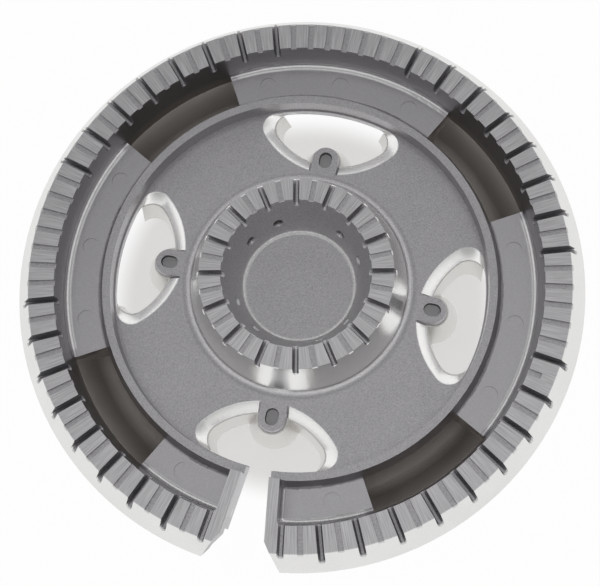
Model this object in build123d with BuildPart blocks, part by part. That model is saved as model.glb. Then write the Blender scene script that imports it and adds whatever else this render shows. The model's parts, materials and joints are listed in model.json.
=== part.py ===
from build123d import *
import os
from math import cos, degrees, hypot, radians, sin, tan

# Burner head of a triple ring gas burner: a die-cast crown, joined to a lower casting that brings it gas.
# Millimetres, +Z up. The origin is on the axis, in the plane of the foot that stands on the hob.
# The gap in the outer ring, where the spark plug stands, faces -Y.

# Levels of the lower casting, upwards from the foot
collar_height = 9.5
pan_floor = 2.0
pocket_depth = 17.0

# Outer ring: the lands that carry the ring cap, and the flared skirt around them
land_outer_radius = 61.5
land_width = 5.9
skirt_flare = 3.9
skirt_drop = 6.8
skirt_lip = 0.8
skirt_wall = 2.2
ring_wall = 2.4

# Gas trough between the lands and the inner rim
trough_width = 10.05
trough_depth = 8.6
trough_draft = 5.0
trough_outer_fillet = 1.5
trough_inner_fillet = 0.7
trough_end_fillet = 1.2
rim_width = 1.8
rim_drop = 5.2
rim_draft = 19.0
rim_slope = 0.15

# Flame ports in the lands, counted in pitches from the gap, counter-clockwise from above
port_pitches = 44
deep_port_groups = [(2, 10), (13, 20), (24, 31), (35, 42)]
half_ports = [1, 43]
plain_pitches = [11, 12, 21, 22, 23, 32, 33, 34]
blind_groove = 9.5
port_width = 1.5
port_depth = 3.8
half_port_depth = 1.9
port_bed = 2.0
port_corner = 0.45
groove_width = 1.3
groove_depth = 0.8

# Gap in the ring, with a wall that closes the trough at each side
gap_inner_width = 5.7
gap_outer_width = 10.4
gap_corner = 2.4
gap_corner_angle = 30.0
end_wall = 2.4

# Plate with four windows, between the rim and the hub
plate_drop = 9.5
plate_thickness = 2.0
window_margin = 2.25
window_offset = 5.1
window_corner_share = 0.32
window_rim = 0.3
edge_slope = 52.0
edge_rise = 0.6

# Ears in the windows, and the posts of the lower casting that are peened in them
ear_width = 6.0
ear_length = 6.75
ear_draft = 10.0
post_width = 3.0
post_length = 4.0
post_edge = 1.2
post_recess = 1.0
post_clearance = 0.05

# Hub with the inner crown, its gas cup and the annular chamber around the cup
crown_rise = 3.0
crown_outer_radius = 22.0
crown_land_width = 4.95
flank_base_radius = 25.5
flank_fillet = 3.0
hub_wall = 2.0
crown_roof = 1.8
cup_depth = 13.0
cup_floor_radius = 13.3
cup_fillet = 1.2
cup_floor = 2.0
crown_ports = 16
crown_port_width = 1.4
crown_port_depth = 2.4
crown_groove_width = 1.2
crown_groove_depth = 0.5
feed_hole = 2.4
feed_hole_rise = 4.7
feed_hole_angle = 15.0

# Gas ducts in the four spokes, and the pockets where they open into the trough
duct_wall = 2.0
pocket_angle = 31.5
pocket_wall = 2.0
pocket_run = 4.75

# Lower casting: draft of its sides and its bosses, its ledge at the joint, its collar and its inlet
body_draft = 8.0
boss_draft = 18.0
joint_ledge = 0.3
body_clearance = 0.3
collar_radius = 30.0
collar_wall = 2.4
inlet_radius = 8.0
inlet_wall = 2.5
inlet_lift = 1.5
inlet_mouth = 1.5

# Marks that the ejector pins leave on the trough floor, beside each window axis
pin_mark = 4.0
pin_mark_offset = 4.75
pin_mark_depth = 0.25
pin_mark_angles = [-20, 0, 20]

# Length by which a cut runs past the face that it opens
overrun = 4.0

# Levels
floor_level = collar_height + pan_floor
land_level = floor_level + pocket_depth
rim_level = land_level - rim_drop
plate_level = land_level - plate_drop
joint_level = plate_level - plate_thickness
trough_level = land_level - trough_depth
skirt_level = land_level - skirt_drop
crown_level = land_level + crown_rise
cup_level = crown_level - cup_depth

# Radii
land_inner_radius = land_outer_radius - land_width
skirt_radius = land_outer_radius + skirt_flare
rim_outer_radius = land_inner_radius - trough_width
rim_lean = tan(radians(rim_draft))
rim_foot_radius = rim_outer_radius + rim_lean * (rim_level - trough_level)
rim_inner_radius = rim_outer_radius - rim_width
plate_radius = rim_inner_radius - rim_slope
window_radius = plate_radius - window_rim
crown_inner_radius = crown_outer_radius - crown_land_width
pocket_radius = land_inner_radius - trough_depth * tan(radians(trough_draft))
pocket_floor_radius = pocket_radius - pocket_run
pin_mark_radius = rim_outer_radius + pin_mark_offset

# Windows: their hub side is an arc about a point beyond the plate, and their corners suit their smallest outline
window_inner_radius = flank_base_radius + window_margin
window_centre = window_radius + window_offset
window_arc = window_centre - window_inner_radius
edge_run = plate_thickness * tan(radians(edge_slope))
body_height = joint_level - collar_height
body_top_inset = edge_run + joint_ledge
body_base_inset = body_top_inset + body_height * tan(radians(body_draft))
window_corner = window_corner_share * (window_radius - window_inner_radius - body_base_inset)

# Ears: half their width at the plate, above it and at the joint, and that of the bosses under them
ear_half = ear_width / 2
ear_top_half = ear_half - edge_rise * tan(radians(ear_draft))
ear_joint_half = ear_half + plate_thickness * tan(radians(ear_draft))
boss_top_half = ear_joint_half + joint_ledge
boss_base_half = boss_top_half + body_height * tan(radians(boss_draft))
ear_reach = window_inner_radius + ear_length
ear_centre = ear_reach - ear_half
post_centre = ear_reach - post_edge - post_length / 2

# Directions of the gap, the windows, the spokes and the ports, in degrees from +X
gap_angle = 270.0
window_angles = [gap_angle + turn * 90.0 for turn in range(4)]
spoke_angles = [angle + 45.0 for angle in window_angles]
port_pitch = 360.0 / port_pitches
crown_pitch = 360.0 / crown_ports


def radial_plane(angle, radius, level):
    """Plane across the radius at an angle: its X runs along the ring and its Y runs up."""
    outward = Vector(cos(radians(angle)), sin(radians(angle)), 0)
    along = Vector(-sin(radians(angle)), cos(radians(angle)), 0)
    return Plane(origin=outward * radius + Vector(0, 0, level), x_dir=along, z_dir=outward)


def section_plane(angle):
    """Plane through the axis at an angle: its X runs outward and its Y runs up."""
    outward = Vector(cos(radians(angle)), sin(radians(angle)), 0)
    across = Vector(sin(radians(angle)), -cos(radians(angle)), 0)
    return Plane(origin=(0, 0, 0), x_dir=outward, z_dir=across)


def land_planes(pitches):
    """Planes just inside the lands, one for each of these pitches."""
    start = land_inner_radius - overrun
    return [radial_plane(gap_angle + port_pitch * pitch, start, land_level) for pitch in pitches]


def crown_planes(offset):
    """Planes just inside the inner crown, one for each of its pitches, from this share of a pitch."""
    start = crown_inner_radius - overrun
    angles = [gap_angle + crown_pitch * (turn + offset) for turn in range(crown_ports)]
    return [radial_plane(angle, start, crown_level) for angle in angles]


def sector(inner_radius, outer_radius, angle):
    """Outline of a piece of a ring, centred on +X."""
    with BuildSketch(mode=Mode.PRIVATE) as outline:
        with BuildLine():
            outer = CenterArc((0, 0), outer_radius, -angle / 2, angle)
            inner = CenterArc((0, 0), inner_radius, -angle / 2, angle)
            Line(inner @ 0, outer @ 0)
            Line(inner @ 1, outer @ 1)
        make_face()
    return outline.sketch


def port_outline(width, depth):
    """Section of a flame port about the land's level, with its bottom corners cut off."""
    with BuildSketch(mode=Mode.PRIVATE) as outline:
        Rectangle(width, 2 * depth)
        chamfer(vertices().group_by(Axis.Y)[0], port_corner)
    return outline.sketch


def gap_outline(wall, corner):
    """Outline of the gap at -Y, with a wall added at each side and its outer corners cut back."""
    slope = (gap_outer_width - gap_inner_width) / 2 / (land_outer_radius - rim_inner_radius)
    corner_slope = slope + tan(radians(gap_corner_angle))
    side = gap_inner_width / 2 + wall * hypot(1, slope)
    near = plate_radius - overrun
    far = skirt_radius + overrun
    bend = land_outer_radius - corner
    near_half = side - slope * (rim_inner_radius - near)
    bend_half = side + slope * (bend - rim_inner_radius)
    far_half = bend_half + corner_slope * (far - bend)
    with BuildSketch(mode=Mode.PRIVATE) as outline:
        with BuildLine():
            Polyline(
                (near_half, -near), (bend_half, -bend), (far_half, -far),
                (-far_half, -far), (-bend_half, -bend), (-near_half, -near),
                close=True,
            )
        make_face()
    return outline.sketch


def window_lens(inset):
    """Outline of the window at -Y without its ear, with its hub side moved in."""
    with BuildSketch(mode=Mode.PRIVATE) as outline:
        Circle(window_radius)
        with Locations((0, -window_centre)):
            Circle(window_arc - inset, mode=Mode.INTERSECT)
        fillet(vertices(), window_corner)
    return outline.sketch


def window_space(base, height, base_inset, top_inset, base_half, top_half):
    """Space of the window at -Y from a level up, with its inset and half its ear's width at base and top."""
    top = base + height
    with BuildPart(mode=Mode.PRIVATE) as space:
        with BuildSketch(Plane.XY.offset(base)):
            add(window_lens(base_inset))
        with BuildSketch(Plane.XY.offset(top)):
            add(window_lens(top_inset))
        loft(ruled=True)
        with Locations((0, -ear_centre, (base + top) / 2)):
            Cone(base_half, top_half, height, mode=Mode.SUBTRACT)
        with BuildSketch(Plane.XZ):
            with BuildLine():
                Polyline((-base_half, base), (base_half, base), (top_half, top), (-top_half, top), close=True)
            make_face()
        extrude(amount=ear_centre, mode=Mode.SUBTRACT)
    return space.part


def duct_outline(reach):
    """Outline of the space in the hub and the four spokes, out to this radius."""
    with BuildSketch(mode=Mode.PRIVATE) as outline:
        Circle(window_radius - duct_wall)
        with PolarLocations(window_centre, 4):
            Circle(window_arc - edge_run + duct_wall, mode=Mode.SUBTRACT)
        for angle in spoke_angles:
            add(sector(plate_radius - overrun, reach, pocket_angle), rotation=angle)
    return outline.sketch


def post_outline(clearance):
    """Outline of the four posts, with this clearance all round."""
    with BuildSketch(mode=Mode.PRIVATE) as outline:
        with PolarLocations(post_centre, 4):
            SlotOverall(post_length - 2 * clearance, post_width - 2 * clearance)
    return outline.sketch


os.makedirs("parts", exist_ok=True)

# Space of the gas trough, closed at each side of the gap
with BuildPart() as trough:
    with BuildSketch(Plane.XZ):
        with BuildLine():
            top = land_level + overrun
            draft = tan(radians(trough_draft))
            Polyline(
                (rim_foot_radius - rim_lean * (top - trough_level), top),
                (rim_foot_radius, trough_level),
                (pocket_radius, trough_level),
                (pocket_radius + draft * (top - trough_level), top),
                close=True,
            )
        make_face()
        fillet(vertices().group_by(Axis.Y)[0].sort_by(Axis.X)[0], trough_inner_fillet)
        fillet(vertices().group_by(Axis.Y)[0].sort_by(Axis.X)[-1], trough_outer_fillet)
    revolve(axis=Axis.Z)
    with BuildSketch(Plane.XY.offset(trough_level - overrun)):
        add(gap_outline(end_wall, 0))
    extrude(amount=trough_depth + 3 * overrun, mode=Mode.SUBTRACT)
    ends = faces().filter_by(GeomType.PLANE).filter_by(Axis.Z, reverse=True)
    fillet(ends.edges().filter_by(lambda edge: edge.center().Z < land_level), trough_end_fillet)

# Crown: the ring, the plate and the hub in one casting
with BuildPart() as crown:
    with BuildSketch(Plane.XZ):
        with BuildLine():
            flank_slope = (flank_base_radius - crown_outer_radius) / (crown_level - plate_level)
            cup_slope = (crown_inner_radius - cup_floor_radius) / cup_depth
            roof = crown_level - crown_port_depth - crown_roof
            cup_base = cup_level - cup_floor
            flank_inner = crown_outer_radius - hub_wall * hypot(1, flank_slope)
            cup_outer = crown_inner_radius + hub_wall * hypot(1, cup_slope)
            skirt_slope = skirt_flare / skirt_drop
            skirt_base = skirt_level - skirt_lip
            bed = land_level - port_depth - port_bed
            Polyline(
                (0, cup_level),
                (cup_floor_radius, cup_level),
                (crown_inner_radius, crown_level),
                (crown_outer_radius, crown_level),
                (flank_base_radius, plate_level),
                (plate_radius, plate_level),
                (rim_inner_radius, rim_level),
                (rim_outer_radius, rim_level),
                (rim_outer_radius, land_level),
                (land_outer_radius, land_level),
                (skirt_radius, skirt_level),
                (skirt_radius, skirt_base),
                (skirt_radius - skirt_wall, skirt_base),
                (skirt_radius - skirt_wall - skirt_slope * (bed - skirt_base), bed),
                (land_inner_radius + ring_wall, bed),
                (land_inner_radius + ring_wall, joint_level),
                (flank_inner + flank_slope * (crown_level - joint_level), joint_level),
                (flank_inner + flank_slope * (crown_level - roof), roof),
                (cup_outer - cup_slope * (crown_level - roof), roof),
                (cup_outer - cup_slope * (crown_level - cup_base), cup_base),
                (0, cup_base),
                close=True,
            )
        make_face()
        fillet(vertices().sort_by_distance((cup_floor_radius, cup_level))[0], cup_fillet)
        fillet(vertices().sort_by_distance((flank_base_radius, plate_level))[0], flank_fillet)
    revolve(axis=Axis.Z)

    # Trough, gap and windows
    add(trough.part, mode=Mode.SUBTRACT)
    with BuildSketch(Plane.XY.offset(joint_level - overrun)):
        add(gap_outline(0, gap_corner))
    extrude(amount=land_level - joint_level + 2 * overrun, mode=Mode.SUBTRACT)
    rise_inset = -edge_rise * tan(radians(edge_slope))
    window = window_space(
        joint_level, plate_thickness + edge_rise, edge_run, rise_inset, ear_joint_half, ear_top_half
    )
    with PolarLocations(0, 4):
        add(window, mode=Mode.SUBTRACT)

    # Pockets, where the ducts of the lower casting open into the trough
    with BuildSketch(Plane.XY.offset(joint_level)):
        for angle in spoke_angles:
            add(sector(rim_foot_radius, pocket_radius, pocket_angle), rotation=angle)
    extrude(amount=trough_level - joint_level + trough_outer_fillet, mode=Mode.SUBTRACT)

    # Flame ports and grooves across the lands of the ring
    port_run = overrun + land_width + skirt_flare + overrun
    deep_ports = [pitch for first, last in deep_port_groups for pitch in range(first, last + 1)]
    with BuildSketch(*land_planes(deep_ports)):
        add(port_outline(port_width, port_depth))
    extrude(amount=port_run, mode=Mode.SUBTRACT)
    with BuildSketch(*land_planes(half_ports)):
        add(port_outline(port_width, half_port_depth))
    extrude(amount=port_run, mode=Mode.SUBTRACT)
    between_ports = [pitch + 0.5 for pitch in range(1, port_pitches - 1) if pitch + 0.5 != blind_groove]
    with BuildSketch(*land_planes(plain_pitches + between_ports)):
        Rectangle(groove_width, 2 * groove_depth)
    extrude(amount=port_run, mode=Mode.SUBTRACT)
    with BuildSketch(*land_planes([blind_groove])):
        Rectangle(groove_width, 2 * groove_depth)
    extrude(amount=overrun + land_width / 2, mode=Mode.SUBTRACT)

    # Flame ports and grooves of the inner crown
    crown_run = overrun + crown_land_width + overrun
    with BuildSketch(*crown_planes(0.5)):
        add(port_outline(crown_port_width, crown_port_depth))
    extrude(amount=crown_run, mode=Mode.SUBTRACT)
    with BuildSketch(*crown_planes(0)):
        Rectangle(crown_groove_width, 2 * crown_groove_depth)
    extrude(amount=crown_run, mode=Mode.SUBTRACT)

    # Holes that feed the cup from the chamber around it
    feed_start = cup_floor_radius - overrun
    feed_angles = [angle + side * feed_hole_angle for angle in spoke_angles for side in (-1, 1)]
    with BuildSketch(*[radial_plane(angle, feed_start, cup_level + feed_hole_rise) for angle in feed_angles]):
        Circle(feed_hole / 2)
    extrude(amount=crown_inner_radius + hub_wall - feed_start, mode=Mode.SUBTRACT)

    # Holes for the posts, and pin marks on the trough floor
    with BuildSketch(Plane.XY.offset(joint_level - overrun)):
        add(post_outline(0))
    extrude(amount=plate_thickness + 2 * overrun, mode=Mode.SUBTRACT)
    mark_angles = [angle + step for angle in window_angles for step in pin_mark_angles]
    mark_angles.remove(gap_angle)
    with BuildSketch(Plane.XY.offset(trough_level - pin_mark_depth)):
        for angle in mark_angles:
            with PolarLocations(pin_mark_radius, 1, start_angle=angle):
                Circle(pin_mark / 2)
    extrude(amount=pin_mark_depth, mode=Mode.SUBTRACT)

crown.part.label = "burner_crown"
export_step(crown.part, "parts/burner_crown.step")

# Lower casting: a four-armed pan that closes the ducts from below
with BuildPart() as body:
    with BuildSketch(Plane.XY.offset(collar_height)):
        Circle(window_radius - body_clearance)
    extrude(amount=body_height)
    window = window_space(
        collar_height, body_height, body_base_inset, body_top_inset, boss_base_half, boss_top_half
    )
    with PolarLocations(0, 4):
        add(window, mode=Mode.SUBTRACT)

    # Ends of the arms, under the pockets of the trough
    lobe_angle = pocket_angle + 2 * degrees(pocket_wall / plate_radius)
    with BuildSketch(Plane.XY.offset(collar_height)):
        for angle in spoke_angles:
            add(sector(plate_radius - overrun, pocket_radius + pocket_wall, lobe_angle), rotation=angle)
    extrude(amount=body_height)

    # Space of the hub and the ducts, with a sloping end in each pocket
    with BuildSketch(Plane.XY.offset(floor_level)):
        add(duct_outline(pocket_floor_radius))
    extrude(amount=pocket_depth, mode=Mode.SUBTRACT)
    with BuildSketch(*[section_plane(angle - pocket_angle / 2) for angle in spoke_angles]):
        with BuildLine():
            Polyline(
                (pocket_floor_radius, floor_level),
                (pocket_radius, joint_level),
                (pocket_floor_radius, joint_level),
                close=True,
            )
        make_face()
    revolve(axis=Axis.Z, revolution_arc=pocket_angle, mode=Mode.SUBTRACT)

    # Posts
    with BuildSketch(Plane.XY.offset(joint_level)):
        add(post_outline(post_clearance))
    extrude(amount=plate_thickness - post_recess)

    # Collar and gas inlet
    with BuildSketch():
        Circle(collar_radius)
        Circle(collar_radius - collar_wall, mode=Mode.SUBTRACT)
    extrude(amount=collar_height)
    with BuildSketch(Plane.XY.offset(inlet_lift)):
        Circle(inlet_radius + inlet_wall)
    extrude(amount=collar_height - inlet_lift)
    with BuildSketch(Plane.XY.offset(inlet_lift)):
        Circle(inlet_radius)
    extrude(amount=floor_level - inlet_lift, mode=Mode.SUBTRACT)
    mouth = edges().filter_by(GeomType.CIRCLE).group_by(Axis.Z)[1].sort_by(SortBy.RADIUS)[0]
    chamfer(mouth, inlet_mouth)

body.part.label = "lower_body"
export_step(body.part, "parts/lower_body.step")
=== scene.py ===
"""Finish, light and camera for a triple ring burner head, laid out as a Blender add-on."""
import json
from math import radians

import bpy
from bpy.props import FloatProperty, FloatVectorProperty, PointerProperty
from bpy.types import Operator, Panel, PropertyGroup
from mathutils import Matrix, Vector

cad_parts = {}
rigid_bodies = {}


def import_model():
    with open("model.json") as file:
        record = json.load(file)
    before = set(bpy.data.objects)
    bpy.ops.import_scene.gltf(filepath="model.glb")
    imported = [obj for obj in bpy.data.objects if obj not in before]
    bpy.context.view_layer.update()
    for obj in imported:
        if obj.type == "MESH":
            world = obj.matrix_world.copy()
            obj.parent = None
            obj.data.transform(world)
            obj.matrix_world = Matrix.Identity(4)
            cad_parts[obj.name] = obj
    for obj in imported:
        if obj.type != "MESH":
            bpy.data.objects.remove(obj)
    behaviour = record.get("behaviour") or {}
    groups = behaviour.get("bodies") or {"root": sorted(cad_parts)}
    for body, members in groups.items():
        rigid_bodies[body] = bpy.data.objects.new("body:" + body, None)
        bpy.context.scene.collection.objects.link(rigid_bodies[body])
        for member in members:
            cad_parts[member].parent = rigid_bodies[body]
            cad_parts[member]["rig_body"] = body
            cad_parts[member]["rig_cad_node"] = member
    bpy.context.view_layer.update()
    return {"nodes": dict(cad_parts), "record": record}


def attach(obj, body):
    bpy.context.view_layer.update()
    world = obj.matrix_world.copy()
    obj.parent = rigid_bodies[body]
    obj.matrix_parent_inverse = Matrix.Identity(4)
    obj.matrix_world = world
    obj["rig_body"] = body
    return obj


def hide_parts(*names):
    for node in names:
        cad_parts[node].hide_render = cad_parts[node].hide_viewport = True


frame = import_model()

bl_info = {
    "name": "Triple ring burner head",
    "version": (1, 0, 0),
    "blender": (4, 5, 0),
    "location": "View3D > Sidebar > Burner head",
    "description": "Finishes the two castings of a gas burner head and sets them on a pale studio floor",
    "category": "Object",
}

# Box and levels that come from the frame, in metres
SEATS = {mount["name"]: Vector(mount["pos_m"]) for mount in frame["record"]["mounts"]}
LAND_LEVEL = SEATS["ring_cap_seat"].z
CROWN_LEVEL = SEATS["crown_cap_seat"].z
FOOT_LEVEL = SEATS["hob_seat"].z

# Outer ring with its rim, trough, lands, ports and skirt, in metres, and the skirt's lean as a ratio
RIM_RADIUS = 0.0456
TROUGH_FLOOR_RADIUS = 0.0534
TROUGH_RADIUS = 0.0555
LAND_RADIUS = 0.0615
PORT_TOP = 0.0008
PORT_DEPTH = 0.0038
SKIRT_DROP = 0.0068
SKIRT_LEAN = 0.0039 / SKIRT_DROP

# Hub with its flank, crown and cup, in metres, and the flank's lean as a ratio
CUP_FLOOR_RADIUS = 0.0123
CUP_LEVEL = CROWN_LEVEL - 0.013
CROWN_INNER_RADIUS = 0.01705
CROWN_LAND_RADIUS = 0.0195
CROWN_RADIUS = 0.022
FLANK_RADIUS = 0.0265
FLANK_LEAN = 0.28
FLANK_FILLET = 0.003

# Plate with its windows and ears, and the pockets and ducts below it, in metres
PLATE_LEVEL = LAND_LEVEL - 0.0095
WINDOW_RADIUS = 0.0433
EAR_HALF = 0.0034
POCKET_EDGE = LAND_LEVEL - 0.0086
BODY_JOINT = LAND_LEVEL - 0.0115
DUCT_FLOOR = LAND_LEVEL - 0.017
CREASE_RADIUS = 0.0501
CREASE_REACH = 0.0004

# Width, in metres, in whose multiples one finish goes over into the next
SOFT = 0.00005

# Where a finish begins and is full: shares of the way to a diagonal, the sine beside the gap, and a share of a slope
POCKET_TURN = (0.80, 0.83)
DUCT_TURN = (0.82, 0.84)
GAP_SINE = (-0.996, -0.992)
SLOPE_START = (0.0, 0.15)

# Patterns: patches in metres, fineness, the middle of a noise, and the pull of the streaks along the radius
CROWN_PATCH = 0.016
BODY_PATCH = 0.012
PATCH_DETAIL = 3
GRAIN_DETAIL = 2
NOISE_MIDDLE = 0.5
STREAK_PULL = 0.04

# Shares of the crown's finish
# Painted highlight in the fillets and painted light on the cup's wall: shares of the near-white colour mixed into them
FILLET_PAINTED_HIGHLIGHT = 0.4
CUP_WALL_PAINTED_LIGHT = 0.3
TROUGH_POLISH = 0.6
SLOPE_POLISH = 0.8
SKIRT_POLISH = 0.8
CROWN_SHADE = 0.92
CROWN_PATCH_SHADE = 0.16
CROWN_GRAIN_SHADE = 0.8
STREAK_SHADE = 0.9
# Painted shade in the ports, stronger with their depth
PORT_PAINTED_SHADE = 0.15
CROWN_ROUGHNESS = 0.26
CROWN_PATCH_ROUGHNESS = 0.08
GRAIN_ROUGHNESS = 0.06
STREAK_ROUGHNESS = 0.1
SLOPE_SMOOTHNESS = 0.1
STREAK_HEIGHT = 0.5
SWELL_RISE = 1.5
SWELL_BEND = 0.5
# Painted highlight: share of metal taken from the windows' sloped edges, so that their near-white colour shows as a
# white sheen
EDGE_HIGHLIGHT_METAL_CUT = 0.4

# Shares of the lower casting's finish
BODY_SHADE = 0.9
BODY_PATCH_SHADE = 0.2
BODY_GRAIN_SHADE = 0.12
BODY_ROUGHNESS = 0.36
BODY_PATCH_ROUGHNESS = 0.1
DUCT_ROUGHNESS = 0.3

# Mesh work: a distance in metres, angles, and the number of faces across a rounding
MERGE_DISTANCE = 0.000002
FLAT_ANGLE = radians(0.5)
SHARP_ANGLE = radians(28)
SMOOTH_ANGLE = radians(35)
EDGE_FACES = 2
POCKET_FACES = 6

# Sockets of a Mix node that take and give colours
MIX_FIRST = 6
MIX_SECOND = 7
MIX_RESULT = 2

# Floor and light tent: sizes in metres, and sines of the angle above the floor
WHITE = (1, 1, 1, 1)
FLOOR_SIZE = 4.0
# Painted shadow: radii within which the camera sees less white on the floor
SHADOW_DISC_RADII = (0.042, 0.05)
BAND_FADE = 0.25
LAMP_FULL = 0.97

# Picture that the camera is set up for, in pixels, the sensor in millimetres, and lengths in metres
PICTURE_WIDTH = 600
PICTURE_HEIGHT = 586
SENSOR_WIDTH = 36.0
MILLIMETRE = 0.001
CLIP_START = 0.01


class FinishSettings(PropertyGroup):
    """Colours and sizes of the castings' finish."""

    casting_colour: FloatVectorProperty(
        name="Casting colour", description="Blasted aluminium of the crown", subtype="COLOR",
        size=3, min=0, max=1, default=(0.43, 0.419, 0.434))
    land_colour: FloatVectorProperty(
        name="Land colour", description="Cut aluminium of the lands that carry the caps", subtype="COLOR",
        size=3, min=0, max=1, default=(0.52, 0.51, 0.522))
    # Painted reflection: the flank is the crown's own aluminium, coloured lighter so that the windows it reflects look
    # bright; its smoothness is real
    flank_reflection_colour: FloatVectorProperty(
        name="Flank colour", description="Smooth aluminium of the hub's flank", subtype="COLOR",
        size=3, min=0, max=1, default=(0.83, 0.825, 0.815))
    # Painted highlight: near-white colour on the windows' sloped edges, also mixed into the fillets and the cup's wall
    painted_highlight_colour: FloatVectorProperty(
        name="Pale edge colour", description="Sloped edges round the windows, and a share of it in the fillets",
        subtype="COLOR", size=3, min=0, max=1, default=(0.95, 0.945, 0.935))
    # Painted reflection: the skirt is the crown's own aluminium, coloured lighter so that it reads near white like the
    # floor it reflects
    skirt_reflection_colour: FloatVectorProperty(
        name="Skirt colour", description="Clean aluminium of the ring's flared skirt", subtype="COLOR",
        size=3, min=0, max=1, default=(0.76, 0.755, 0.745))
    body_colour: FloatVectorProperty(
        name="Lower casting colour", description="Bare aluminium of the lower casting", subtype="COLOR",
        size=3, min=0, max=1, default=(0.63, 0.617, 0.598))
    # Painted shade: the posts in the ears' recesses are coloured dark where shade falls
    post_shade_colour: FloatVectorProperty(
        name="Post colour", description="Peened ends of the posts in the ears", subtype="COLOR",
        size=3, min=0, max=1, default=(0.28, 0.273, 0.28))
    # Brown tone inside the gas ducts and the pockets: darker than the lower casting, warmer and a little lighter than
    # the crown's casting
    duct_colour: FloatVectorProperty(
        name="Duct colour", description="Dull brown skin inside the gas ducts and the pockets", subtype="COLOR",
        size=3, min=0, max=1, default=(0.48, 0.448, 0.425))
    grain_size: FloatProperty(
        name="Grain size", description="Width of the grain that blasting leaves", unit="LENGTH",
        min=0.0001, default=0.0003)
    grain_depth: FloatProperty(
        name="Grain depth", description="Height of the grain that blasting leaves", unit="LENGTH",
        min=0, default=0.00005)
    streak_width: FloatProperty(
        name="Streak width", description="Width of the cutter's streaks across the lands", unit="LENGTH",
        min=0.0001, default=0.0003)
    edge_round: FloatProperty(
        name="Edge rounding", description="Rounding of the castings' edges", unit="LENGTH",
        min=0, default=0.00015)
    pocket_round: FloatProperty(
        name="Pocket rounding", description="Rounding between the floor and the slope of a pocket", unit="LENGTH",
        min=0, default=0.0016)
    flank_sweep: FloatProperty(
        name="Flank sweep", description="How far the foot of the hub's flank seems to sweep out", unit="LENGTH",
        min=0, default=0.0018)
    edge_swell: FloatProperty(
        name="Edge swell", description="How far the windows' sloped edges seem to swell", unit="LENGTH",
        min=0, default=0.0005)


class StageSettings(PropertyGroup):
    """Camera, floor and light."""

    view_azimuth: FloatProperty(
        name="View azimuth", description="Turn of the camera about the burner's axis, from the gap's side",
        subtype="ANGLE", default=radians(25.58))
    view_elevation: FloatProperty(
        name="View elevation", description="Angle of the line of sight to the floor", subtype="ANGLE",
        default=radians(75.28))
    view_roll: FloatProperty(
        name="View roll", description="Turn of the picture about the line of sight", subtype="ANGLE",
        default=radians(-14.5))
    view_distance: FloatProperty(
        name="View distance", description="From the camera to the lands' centre", unit="LENGTH", default=0.2871)
    picture_scale: FloatProperty(
        name="Picture scale", description="Pixels for each millimetre at the lands' centre", default=4.4281)
    centre_x: FloatProperty(
        name="Centre across", description="Pixel column of the lands' centre", default=296.65)
    centre_y: FloatProperty(
        name="Centre down", description="Pixel row of the lands' centre", default=275.39)
    floor_colour: FloatVectorProperty(
        name="Floor colour", description="Colour of the floor", subtype="COLOR", size=3, min=0, max=1,
        default=(0.93, 0.905, 0.87))
    floor_glow: FloatProperty(
        name="Floor glow", description="Share of plain white in what the camera sees of the floor", min=0, max=1,
        default=0.97)
    # Painted shadow: under the object the camera sees less of the white, so the floor there is darker, on top of its
    # rendered shadow
    shadow_disc_glow: FloatProperty(
        name="Shade glow", description="Share of plain white in what the camera sees of the floor under the object",
        min=0, max=1, default=0.45)
    middle_light: FloatProperty(
        name="Light between", description="Strength of the tent's light between its sides and its top", min=0,
        default=0.2)
    lamp_edge: FloatProperty(
        name="Lamp edge", description="Sine of the angle above the floor at which the soft lamp begins", min=0, max=1,
        default=0.84)
    band_height: FloatProperty(
        name="Band height", description="Sine of the angle above the floor at which the tent's bright sides end",
        min=0, max=1, default=0.82)
    zenith_light: FloatProperty(
        name="Light from above", description="Strength of the tent's light at its top", min=0, default=0.85)
    horizon_light: FloatProperty(
        name="Light from the sides", description="Strength of the tent's light at the floor", min=0, default=1.15)


class Wire:
    """A node's output in one material, with the operators that its maths is written in."""

    def __init__(self, tree, socket=None):
        self.tree = tree
        self.socket = socket

    def node(self, kind, settings=None, inputs=None, output=0):
        """Adds a node, sets it up, fills its sockets with values or links, and gives one of its outputs."""
        made = self.tree.nodes.new(kind)
        for name, value in (settings or {}).items():
            setattr(made, name, value)
        for name, value in (inputs or {}).items():
            if isinstance(value, Wire):
                self.tree.links.new(value.socket, made.inputs[name])
            else:
                made.inputs[name].default_value = value
        return Wire(self.tree, made.outputs[output] if made.outputs else None)

    def math(self, operation, *others):
        """Adds a Math node on this value and others."""
        return self.node("ShaderNodeMath", {"operation": operation}, dict(enumerate((self, *others))))

    def __add__(self, other):
        return self.math("ADD", other)

    def __sub__(self, other):
        return self.math("SUBTRACT", other)

    def __rsub__(self, other):
        return self.math("MULTIPLY_ADD", -1.0, other)

    def __mul__(self, other):
        return self.math("MULTIPLY", other)

    def __truediv__(self, other):
        return self.math("DIVIDE", other)

    __radd__ = __add__
    __rmul__ = __mul__

    def step(self, start, end):
        """Goes smoothly from 0 to 1 as the value goes from start to end."""
        return self.node(
            "ShaderNodeMapRange", {"interpolation_type": "SMOOTHSTEP"},
            {"Value": self, "From Min": start, "From Max": end})

    def fade(self, start, end):
        """Goes smoothly from 1 to 0 as the value goes from start to end."""
        return 1 - self.step(start, end)

    def most(self, other):
        """The larger one of two values."""
        return self.math("MAXIMUM", other)

    def least(self, other):
        """The smaller one of two values."""
        return self.math("MINIMUM", other)

    def size(self):
        """The value without its sign."""
        return self.math("ABSOLUTE")

    def mix(self, first, second):
        """Colour that goes from first to second as the value goes from 0 to 1."""
        return self.node(
            "ShaderNodeMix", {"data_type": "RGBA"}, {"Factor": self, MIX_FIRST: first, MIX_SECOND: second}, MIX_RESULT)

    def noise(self, point, size, detail):
        """Noise on this point, about 0.5, with patches of this size in metres."""
        return self.node("ShaderNodeTexNoise", {}, {"Vector": point, "Scale": 1 / size, "Detail": detail})


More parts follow.
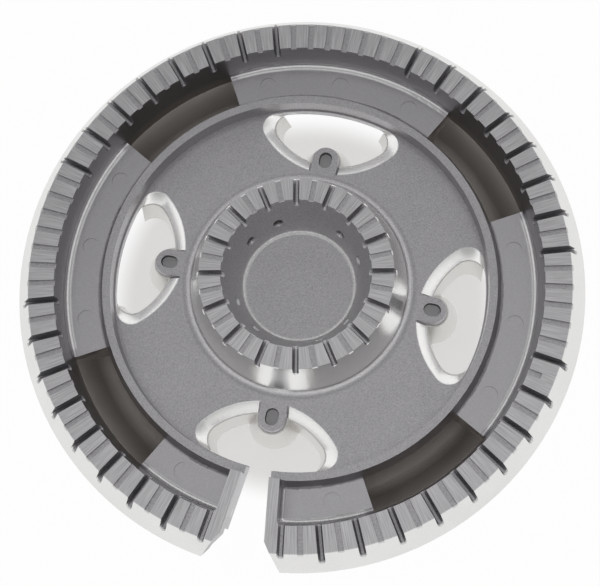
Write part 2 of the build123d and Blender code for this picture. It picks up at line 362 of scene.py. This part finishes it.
def rgba(colour):
    """Colour of a setting, as a socket takes it."""
    return (*colour, 1.0)


def new_material(name):
    """Empty node material and a wire to build on."""
    material = bpy.data.materials.new(name)
    material.use_nodes = True
    material.node_tree.nodes.clear()
    return material, Wire(material.node_tree)


def output(wire, surface):
    """Ends a material with this shader."""
    wire.node("ShaderNodeOutputMaterial", {}, {"Surface": surface})


def axes(wire, point):
    """The three coordinates of a point."""
    return [wire.node("ShaderNodeSeparateXYZ", {}, {"Vector": point}, axis) for axis in "XYZ"]


def places(wire):
    """Point on a casting, with its radius, its angle and its level."""
    point = wire.node("ShaderNodeTexCoord", {}, {}, "Object")
    across, along, level = axes(wire, point)
    radius = (across * across + along * along).math("SQRT")
    angle = along.math("ARCTAN2", across)
    return point, radius, angle, level


def diagonal(angle):
    """0 on a window's axis, and 1 half way between two of them, where the ducts are."""
    return (2 * angle).math("SINE").size()


def shaded(wire, colour, shade):
    """Colour times a grey shade."""
    return wire.node(
        "ShaderNodeMix", {"data_type": "RGBA", "blend_type": "MULTIPLY"},
        {"Factor": 1.0, MIX_FIRST: colour, MIX_SECOND: shade}, MIX_RESULT)


def land_zones(radius, level):
    """Shares of the outer ring and of the lands on the ring and the crown."""
    ring = radius.step(RIM_RADIUS, RIM_RADIUS + SOFT)
    ring_land = ring * level.step(LAND_LEVEL - 2 * SOFT, LAND_LEVEL - SOFT)
    crown_land = level.step(CROWN_LEVEL - 2 * SOFT, CROWN_LEVEL - SOFT)
    return ring, ring_land.most(crown_land)


def skirt_zones(radius, angle, level, land):
    """Shares of the ring's skirt and of its ports, apart from the gap's side; the ports' share grows with their depth
    and darkens them as painted shade.
    """
    drop = LAND_LEVEL - level
    inset = SKIRT_LEAN * drop.least(SKIRT_DROP) - radius + LAND_RADIUS
    skirt = radius.step(LAND_RADIUS + SOFT, LAND_RADIUS + 4 * SOFT) * inset.fade(6 * SOFT, 12 * SOFT)
    port = radius.step(TROUGH_RADIUS + SOFT, TROUGH_RADIUS + 2 * SOFT) * (1 - land) * (1 - skirt)
    port = port * drop.step(PORT_TOP, PORT_DEPTH) * angle.math("SINE").step(*GAP_SINE)
    return skirt, port


def trough_zones(radius, level, ring, land, spoke):
    """Shares of the ring's trough, of the pockets in it, and of the fillet round its floor."""
    trough = ring * radius.fade(TROUGH_RADIUS, TROUGH_RADIUS + SOFT) * (1 - land)
    pocket = trough * spoke * level.fade(POCKET_EDGE - 4 * SOFT, POCKET_EDGE)
    pocket = pocket * level.step(BODY_JOINT, BODY_JOINT + SOFT)
    fillet = radius.step(TROUGH_FLOOR_RADIUS, TROUGH_FLOOR_RADIUS + 8 * SOFT) * (1 - spoke)
    fillet = fillet * radius.fade(TROUGH_RADIUS - 12 * SOFT, TROUGH_RADIUS - 8 * SOFT)
    fillet = fillet * level.fade(POCKET_EDGE + 20 * SOFT, POCKET_EDGE + 28 * SOFT)
    fillet = fillet * level.step(POCKET_EDGE - 2 * SOFT, POCKET_EDGE)
    return trough, pocket, fillet


def flank_zones(radius, level, land):
    """Shares of the outside of the hub's cone, and of the flank on it above the fillet at its foot."""
    cone_depth = radius + FLANK_LEAN * level - (CROWN_RADIUS + FLANK_LEAN * CROWN_LEVEL)
    outside = cone_depth.step(-6 * SOFT, -4 * SOFT)
    flank = outside * radius.fade(FLANK_RADIUS, FLANK_RADIUS + 40 * SOFT) * (1 - land)
    flank = flank * level.step(PLATE_LEVEL, PLATE_LEVEL + FLANK_FILLET)
    return outside, flank


def edge_zones(wire, point, radius, level):
    """Share of the windows' surrounds, and how deep a point is on their sloped edges."""
    across, along = axes(wire, point)[:2]
    edge = radius.step(FLANK_RADIUS, FLANK_RADIUS + SOFT) * radius.fade(WINDOW_RADIUS - 2 * SOFT, WINDOW_RADIUS)
    edge = edge * across.size().least(along.size()).step(EAR_HALF, EAR_HALF + 2 * SOFT)
    depth = (PLATE_LEVEL - level).most(0.0) / (PLATE_LEVEL - BODY_JOINT)
    return edge, depth


def cup_zones(radius, level, land):
    """Shares of the cup's wall and of the fillet at its foot."""
    cup = radius.fade(CROWN_INNER_RADIUS, CROWN_INNER_RADIUS + SOFT) * (1 - land)
    wall = cup * level.step(CUP_LEVEL + 12 * SOFT, CUP_LEVEL + 24 * SOFT)
    fillet = cup * radius.step(CUP_FLOOR_RADIUS, CUP_FLOOR_RADIUS + 8 * SOFT) * (1 - wall)
    return wall, fillet


def crown_finish(finish):
    """Blasted casting with a fine grain and smooth slopes, lands with a cutter's streaks, a painted highlight on the
    windows' sloped edges and in the fillets, painted light on the cup's wall, painted reflections from a lighter flank
    and skirt, and painted shade in the ports.
    """
    material, wire = new_material("blasted_casting")
    point, radius, angle, level = places(wire)
    spoke = diagonal(angle).step(*POCKET_TURN)
    ring, land = land_zones(radius, level)
    skirt, port = skirt_zones(radius, angle, level, land)
    trough, pocket, trough_fillet = trough_zones(radius, level, ring, land, spoke)
    outside, flank = flank_zones(radius, level, land)
    edge, depth = edge_zones(wire, point, radius, level)
    cup_wall, cup_fillet = cup_zones(radius, level, land)
    fillet = trough_fillet.most(cup_fillet)
    sloped = edge * depth.step(*SLOPE_START)
    smooth = flank.most(sloped)
    coarse = (1 - land) * (1 - TROUGH_POLISH * trough) * (1 - SLOPE_POLISH * smooth) * (1 - SKIRT_POLISH * skirt)

    patches = wire.noise(point, CROWN_PATCH, PATCH_DETAIL)
    grain = wire.noise(point, finish.grain_size, GRAIN_DETAIL)
    turns = angle * (CROWN_LAND_RADIUS + ring * (LAND_RADIUS - CROWN_LAND_RADIUS))
    fan = wire.node("ShaderNodeCombineXYZ", {}, {"X": turns, "Y": radius * STREAK_PULL, "Z": level})
    streaks = wire.noise(fan, finish.streak_width, GRAIN_DETAIL)

    colour = land.mix(rgba(finish.casting_colour), rgba(finish.land_colour))
    # Painted reflection: the flank gets a lighter colour than the casting
    colour = flank.mix(colour, rgba(finish.flank_reflection_colour))
    # Painted highlight: the windows' sloped edges get a near-white colour
    colour = sloped.mix(colour, rgba(finish.painted_highlight_colour))
    # Painted highlight in the fillets round the trough's and the cup's floors, and painted light on the cup's wall
    colour = (FILLET_PAINTED_HIGHLIGHT * fillet + CUP_WALL_PAINTED_LIGHT * cup_wall).mix(colour, rgba(finish.painted_highlight_colour))
    # Painted reflection: the skirt gets a lighter colour than the casting
    colour = skirt.mix(colour, rgba(finish.skirt_reflection_colour))
    colour = pocket.mix(colour, rgba(finish.duct_colour))
    shade = CROWN_SHADE + CROWN_PATCH_SHADE * patches + CROWN_GRAIN_SHADE * coarse * (grain - NOISE_MIDDLE)
    shade = shade + STREAK_SHADE * land * (streaks - NOISE_MIDDLE)
    # Painted shade: the ports darken with their depth
    shade = shade * (1 - PORT_PAINTED_SHADE * port)
    roughness = CROWN_ROUGHNESS + CROWN_PATCH_ROUGHNESS * patches + GRAIN_ROUGHNESS * coarse
    roughness = roughness + STREAK_ROUGHNESS * land * streaks - SLOPE_SMOOTHNESS * smooth

    height = finish.grain_depth * (coarse * grain + STREAK_HEIGHT * land * streaks)
    height = height + edge * finish.edge_swell * depth * (SWELL_RISE - SWELL_BEND * depth)
    fall = ((CROWN_LEVEL - level) / (CROWN_LEVEL - PLATE_LEVEL)).least(1.0)
    fall = fall.most(radius.step(FLANK_RADIUS + 20 * SOFT, FLANK_RADIUS + 40 * SOFT))
    height = height + outside * finish.flank_sweep * fall * fall
    bump = wire.node("ShaderNodeBump", {}, {"Strength": 1.0, "Distance": 1.0, "Height": height})
    # Painted highlight: the windows' sloped edges lose some metal, so that their near-white colour shows
    shader = wire.node(
        "ShaderNodeBsdfPrincipled", {},
        {"Base Color": shaded(wire, colour, shade), "Metallic": 1 - EDGE_HIGHLIGHT_METAL_CUT * sloped, "Roughness": roughness,
         "Normal": bump})
    output(wire, shader)
    return material


def body_finish(finish):
    """Bare casting of the lower body, with a brown tone inside its ducts and painted shade on the posts in the ears'
    recesses.
    """
    material, wire = new_material("bare_casting")
    point, radius, angle, level = places(wire)
    patches = wire.noise(point, BODY_PATCH, PATCH_DETAIL)
    grain = wire.noise(point, finish.grain_size, GRAIN_DETAIL)
    duct = radius.step(RIM_RADIUS - 20 * SOFT, RIM_RADIUS) * radius.fade(TROUGH_RADIUS, TROUGH_RADIUS + SOFT)
    duct = duct * level.step(DUCT_FLOOR - 10 * SOFT, DUCT_FLOOR - 8 * SOFT) * diagonal(angle).step(*DUCT_TURN)
    post = level.step(BODY_JOINT + SOFT, BODY_JOINT + 4 * SOFT)
    # Brown tone inside the ducts, darker than the rest of the lower casting
    colour = duct.mix(rgba(finish.body_colour), rgba(finish.duct_colour))
    # Painted shade on the posts in the ears' recesses
    colour = post.mix(colour, rgba(finish.post_shade_colour))
    shade = BODY_SHADE + BODY_PATCH_SHADE * patches + BODY_GRAIN_SHADE * grain
    roughness = BODY_ROUGHNESS + BODY_PATCH_ROUGHNESS * patches + DUCT_ROUGHNESS * duct
    bump = wire.node(
        "ShaderNodeBump", {}, {"Strength": 1.0, "Distance": finish.grain_depth, "Height": grain})
    shader = wire.node(
        "ShaderNodeBsdfPrincipled", {},
        {"Base Color": shaded(wire, colour, shade), "Metallic": 1.0, "Roughness": roughness, "Normal": bump})
    output(wire, shader)
    return material


def merged_copy(node, name):
    """Copy of a CAD node with its triangles merged and its flat faces joined, as a piece of its own."""
    bpy.ops.object.select_all(action="DESELECT")
    original = frame["nodes"][node]
    original.select_set(True)
    bpy.context.view_layer.objects.active = original
    bpy.ops.object.duplicate()
    piece = bpy.context.object
    piece.name = name
    piece.data.name = name
    piece.data.materials.clear()
    bpy.ops.object.parent_clear(type="CLEAR_KEEP_TRANSFORM")
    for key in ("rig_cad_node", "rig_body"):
        del piece[key]
    bpy.ops.object.mode_set(mode="EDIT")
    bpy.ops.mesh.select_all(action="SELECT")
    bpy.ops.mesh.remove_doubles(threshold=MERGE_DISTANCE)
    bpy.ops.mesh.dissolve_limited(angle_limit=FLAT_ANGLE)
    bpy.ops.object.mode_set(mode="OBJECT")
    return piece


def round_pockets(piece, rounding):
    """Rounds the crease between the flat floor and the outer slope of each pocket."""
    bpy.ops.object.mode_set(mode="EDIT")
    bpy.ops.mesh.select_all(action="DESELECT")
    bpy.ops.object.mode_set(mode="OBJECT")
    creased = set()
    for corner in piece.data.vertices:
        radius = corner.co.xy.length
        if abs(corner.co.z - DUCT_FLOOR) < SOFT and abs(radius - CREASE_RADIUS) < CREASE_REACH:
            creased.add(corner.index)
    for edge in piece.data.edges:
        edge.select = creased.issuperset(edge.vertices)
    bpy.ops.object.mode_set(mode="EDIT")
    bpy.ops.mesh.select_mode(type="EDGE")
    bpy.ops.mesh.bevel(offset=rounding, segments=POCKET_FACES, clamp_overlap=True)
    bpy.ops.object.mode_set(mode="OBJECT")


def round_edges(piece, rounding):
    """Rounds a casting's sharp edges and smooths its curved faces."""
    bpy.ops.object.select_all(action="DESELECT")
    piece.select_set(True)
    bpy.context.view_layer.objects.active = piece
    bevel = piece.modifiers.new("edge_rounding", "BEVEL")
    bevel.width = rounding
    bevel.segments = EDGE_FACES
    bevel.limit_method = "ANGLE"
    bevel.angle_limit = SHARP_ANGLE
    bpy.ops.object.modifier_apply(modifier=bevel.name)
    bpy.ops.object.shade_smooth_by_angle(angle=SMOOTH_ANGLE)
    flat = piece.modifiers.new("flat_faces", "WEIGHTED_NORMAL")
    flat.keep_sharp = True
    bpy.ops.object.modifier_apply(modifier=flat.name)


class BURNER_OT_crown(Operator):
    """Finish the crown casting"""

    bl_idname = "burner.crown"
    bl_label = "Crown casting"

    def execute(self, context):
        finish = context.scene.burner_finish
        piece = merged_copy("burner_crown", "crown_casting")
        round_edges(piece, finish.edge_round)
        piece.data.materials.append(crown_finish(finish))
        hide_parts("burner_crown")
        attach(piece, "root")
        return {"FINISHED"}


class BURNER_OT_body(Operator):
    """Finish the lower casting"""

    bl_idname = "burner.body"
    bl_label = "Lower casting"

    def execute(self, context):
        finish = context.scene.burner_finish
        piece = merged_copy("lower_body", "body_casting")
        round_pockets(piece, finish.pocket_round)
        round_edges(piece, finish.edge_round)
        piece.data.materials.append(body_finish(finish))
        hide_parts("lower_body")
        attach(piece, "root")
        return {"FINISHED"}


def floor_finish(stage):
    """Pale floor: the camera and reflections see it nearly white, and it keeps the object's shadow; under the object
    the camera sees less of the white, a painted shadow over the rendered one.
    """
    material, wire = new_material("pale_floor")
    radius = places(wire)[1]
    seen = wire.node("ShaderNodeLightPath", {}, {}, "Is Camera Ray")
    reflected = wire.node("ShaderNodeLightPath", {}, {}, "Is Glossy Ray")
    passed = wire.node("ShaderNodeLightPath", {}, {}, "Is Transmission Ray")
    # Painted shadow: less white under the object for the camera
    glow = stage.shadow_disc_glow + (stage.floor_glow - stage.shadow_disc_glow) * radius.step(*SHADOW_DISC_RADII)
    white_share = (seen * glow).most(reflected.most(passed))
    matt = wire.node("ShaderNodeBsdfDiffuse", {}, {"Color": rgba(stage.floor_colour)})
    white = wire.node("ShaderNodeEmission", {}, {"Color": WHITE, "Strength": 1.0})
    shader = wire.node("ShaderNodeMixShader", {}, {"Fac": white_share, 1: matt, 2: white})
    output(wire, shader)
    return material


def tent_light(stage):
    """White tent: bright at its sides, a soft lamp at its top, dim between, and white to the camera itself."""
    world = bpy.data.worlds.new("light_tent")
    world.use_nodes = True
    world.node_tree.nodes.clear()
    wire = Wire(world.node_tree)
    direction = wire.node("ShaderNodeTexCoord", {}, {}, "Generated")
    height = wire.node("ShaderNodeSeparateXYZ", {}, {"Vector": direction}, "Z")
    sides = height.fade(stage.band_height - BAND_FADE, stage.band_height)
    lamp = height.step(stage.lamp_edge, LAMP_FULL)
    strength = stage.middle_light + sides * (stage.horizon_light - stage.middle_light)
    strength = strength + lamp * (stage.zenith_light - stage.middle_light)
    seen = wire.node("ShaderNodeLightPath", {}, {}, "Is Camera Ray")
    strength = strength + seen * (1.0 - strength)
    background = wire.node("ShaderNodeBackground", {}, {"Color": WHITE, "Strength": strength})
    wire.node("ShaderNodeOutputWorld", {}, {"Surface": background})
    return world


def add_camera(stage):
    """Camera at the photograph's angle, with its scale and framing."""
    data = bpy.data.cameras.new("photo_camera")
    camera = bpy.data.objects.new("photo_camera", data)
    bpy.context.scene.collection.objects.link(camera)
    turn = Matrix.Rotation(stage.view_azimuth, 4, "Z")
    tilt = Matrix.Rotation(radians(90) - stage.view_elevation, 4, "X")
    roll = Matrix.Rotation(stage.view_roll, 4, "Z")
    centre = Matrix.Translation((0, 0, LAND_LEVEL))
    back = Matrix.Translation((0, 0, stage.view_distance))
    camera.matrix_world = centre @ turn @ tilt @ back @ roll
    data.sensor_width = SENSOR_WIDTH
    focal_pixels = stage.picture_scale * stage.view_distance / MILLIMETRE
    data.lens = focal_pixels * SENSOR_WIDTH / PICTURE_WIDTH
    data.shift_x = (PICTURE_WIDTH / 2 - stage.centre_x) / PICTURE_WIDTH
    data.shift_y = (stage.centre_y - PICTURE_HEIGHT / 2) / PICTURE_WIDTH
    data.clip_start = CLIP_START
    bpy.context.scene.camera = camera


class BURNER_OT_stage(Operator):
    """Set the floor, the light and the camera"""

    bl_idname = "burner.stage"
    bl_label = "Stage"

    def execute(self, context):
        stage = context.scene.burner_stage
        bpy.ops.object.select_all(action="DESELECT")
        bpy.ops.mesh.primitive_plane_add(size=FLOOR_SIZE, location=(0, 0, FOOT_LEVEL))
        floor = context.object
        floor.name = "floor"
        floor.data.materials.append(floor_finish(stage))
        context.scene.world = tent_light(stage)
        context.scene.view_settings.view_transform = "Standard"
        add_camera(stage)
        return {"FINISHED"}


class BURNER_PT_panel(Panel):
    """Lists the burner head's pieces and settings"""

    bl_idname = "BURNER_PT_panel"
    bl_label = "Burner head"
    bl_space_type = "VIEW_3D"
    bl_region_type = "UI"
    bl_category = "Burner head"

    def draw(self, context):
        for operator in OPERATORS:
            self.layout.operator(operator.bl_idname)
        for settings in (context.scene.burner_finish, context.scene.burner_stage):
            box = self.layout.box()
            for name in settings.__annotations__:
                box.prop(settings, name)


OPERATORS = (BURNER_OT_crown, BURNER_OT_body, BURNER_OT_stage)
CLASSES = (FinishSettings, StageSettings, *OPERATORS, BURNER_PT_panel)


def register():
    """Adds the settings, the operators and the panel to Blender."""
    for item in CLASSES:
        bpy.utils.register_class(item)
    bpy.types.Scene.burner_finish = PointerProperty(type=FinishSettings)
    bpy.types.Scene.burner_stage = PointerProperty(type=StageSettings)


def unregister():
    """Takes them out again."""
    del bpy.types.Scene.burner_stage
    del bpy.types.Scene.burner_finish
    for item in reversed(CLASSES):
        bpy.utils.unregister_class(item)


def main():
    """Builds the whole scene."""
    register()
    bpy.ops.burner.crown()
    bpy.ops.burner.body()
    bpy.ops.burner.stage()


if __name__ == "__main__":
    main()
